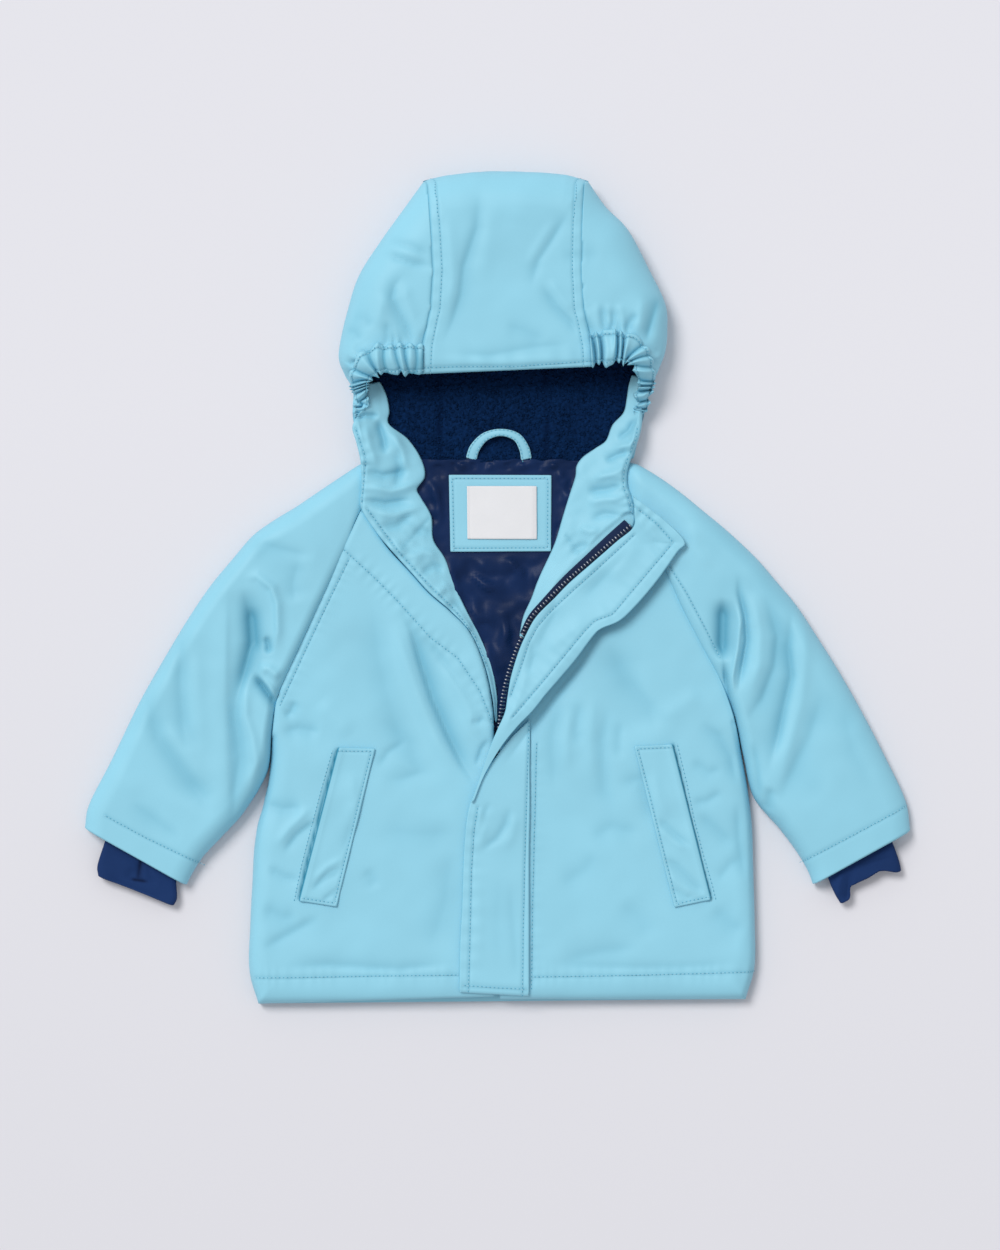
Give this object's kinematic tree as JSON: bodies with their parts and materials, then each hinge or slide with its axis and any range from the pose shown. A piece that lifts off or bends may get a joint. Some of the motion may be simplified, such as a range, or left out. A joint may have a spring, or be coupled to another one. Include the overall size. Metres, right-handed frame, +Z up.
{
  "type": "kids raincoat",
  "caption": "Light blue hooded raincoat for a small child, lying flat, neck open over a navy lining, with zip, storm flap, welt pockets and inner cuffs.",
  "frame": {"origin": "centre of the bounding box in plan, on the surface that the coat lies on", "axes": "+X to the right of a viewer who looks down at the coat, +Y from the hem to the hood, +Z up from the surface"},
  "size_m": [0.6441, 0.647, 0.047],
  "materials": {
    "shell": "matt coated cloth, softly padded",
    "lining": "quilted satin",
    "fleece": "curly fleece",
    "cuff": "fine smooth knit",
    "label": "woven satin",
    "zip_tape": "woven tape",
    "zip_metal": "satin"
  },
  "bodies": {
    "root": {"back": "shell", "back_lining": "lining", "front_left": "shell", "front_right": "shell", "sleeve_left": "shell", "sleeve_right": "shell", "cuff_left": "cuff", "cuff_right": "cuff", "hood_centre": "shell", "hood_left": "shell", "hood_right": "shell", "hood_lining": "fleece", "casing_left": "shell", "casing_right": "shell", "facing_left": "shell", "facing_right": "shell", "zip_chain": "zip_metal", "zip_tape_right": "zip_tape", "storm_flap": "shell", "flap_facing": "shell", "pocket_left": "shell", "pocket_right": "shell", "label_patch": "shell", "neck_label": "label", "hanging_loop": "shell"}
  },
  "joints": []
}
